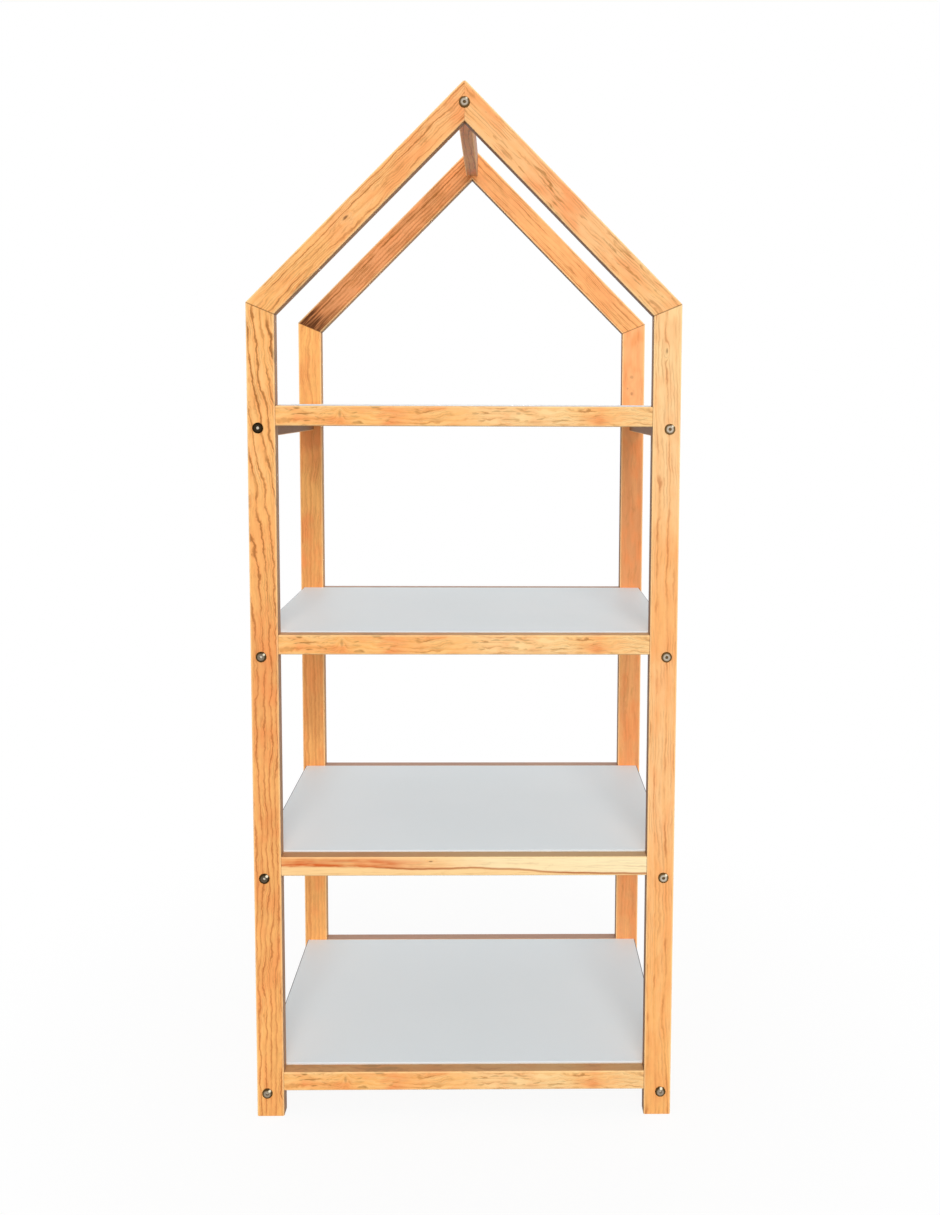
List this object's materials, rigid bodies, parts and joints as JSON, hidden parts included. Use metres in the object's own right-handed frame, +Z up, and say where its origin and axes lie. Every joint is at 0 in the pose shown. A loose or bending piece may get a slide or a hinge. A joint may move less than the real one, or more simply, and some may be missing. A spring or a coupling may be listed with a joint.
{
  "type": "children's house-shaped bookshelf",
  "caption": "House-shaped pine bookshelf for a child's room: mitred front and back frames joined by bolted side rails and a ridge beam, with white boards.",
  "frame": {"origin": "on the floor, at the centre of the space between the four posts", "axes": "+Z up, -Y towards the front, +X to the right seen from the front"},
  "size_m": [0.6, 0.405, 1.4679],
  "materials": {
    "pine": "honey-coloured varnished pine, satin, with brown grain",
    "white_board": "smooth satin white laminate on board",
    "bolt_steel": "nickel-plated steel, dark satin",
    "nut_steel": "zinc-plated steel, satin",
    "beech_dowel": "raw beech"
  },
  "bodies": {
    "house_frames": {"front_left_post": "pine", "front_right_post": "pine", "front_left_rafter": "pine", "front_right_rafter": "pine", "front_rail_1": "pine", "front_rail_2": "pine", "front_rail_3": "pine", "front_rail_4": "pine", "back_left_post": "pine", "back_right_post": "pine", "back_left_rafter": "pine", "back_right_rafter": "pine", "back_rail_1": "pine", "back_rail_2": "pine", "back_rail_3": "pine", "back_rail_4": "pine", "left_side_rail_1": "pine", "left_side_rail_2": "pine", "left_side_rail_3": "pine", "left_side_rail_4": "pine", "right_side_rail_1": "pine", "right_side_rail_2": "pine", "right_side_rail_3": "pine", "right_side_rail_4": "pine", "ridge_beam": "pine", "front_bolts": "bolt_steel", "back_bolts": "bolt_steel", "left_barrel_nuts": "nut_steel", "right_barrel_nuts": "nut_steel", "ridge_barrel_nuts": "nut_steel", "front_rail_dowels": "beech_dowel", "back_rail_dowels": "beech_dowel", "front_mitre_dowels": "beech_dowel", "back_mitre_dowels": "beech_dowel"},
    "shelf_board_1": {"shelf_board_1": "white_board"},
    "shelf_board_2": {"shelf_board_2": "white_board"},
    "shelf_board_3": {"shelf_board_3": "white_board"},
    "shelf_board_4": {"shelf_board_4": "white_board"}
  },
  "joints": [
    {"name": "lift_shelf_board_1", "type": "slide", "parent": "house_frames", "child": "shelf_board_1", "axis": [0, 0, 1], "range_m": [0, 0.27]},
    {"name": "lift_shelf_board_2", "type": "slide", "parent": "house_frames", "child": "shelf_board_2", "axis": [0, 0, 1], "range_m": [0, 0.27]},
    {"name": "lift_shelf_board_3", "type": "slide", "parent": "house_frames", "child": "shelf_board_3", "axis": [0, 0, 1], "range_m": [0, 0.27]},
    {"name": "lift_shelf_board_4", "type": "slide", "parent": "house_frames", "child": "shelf_board_4", "axis": [0, 0, 1], "range_m": [0, 0.38]}
  ]
}
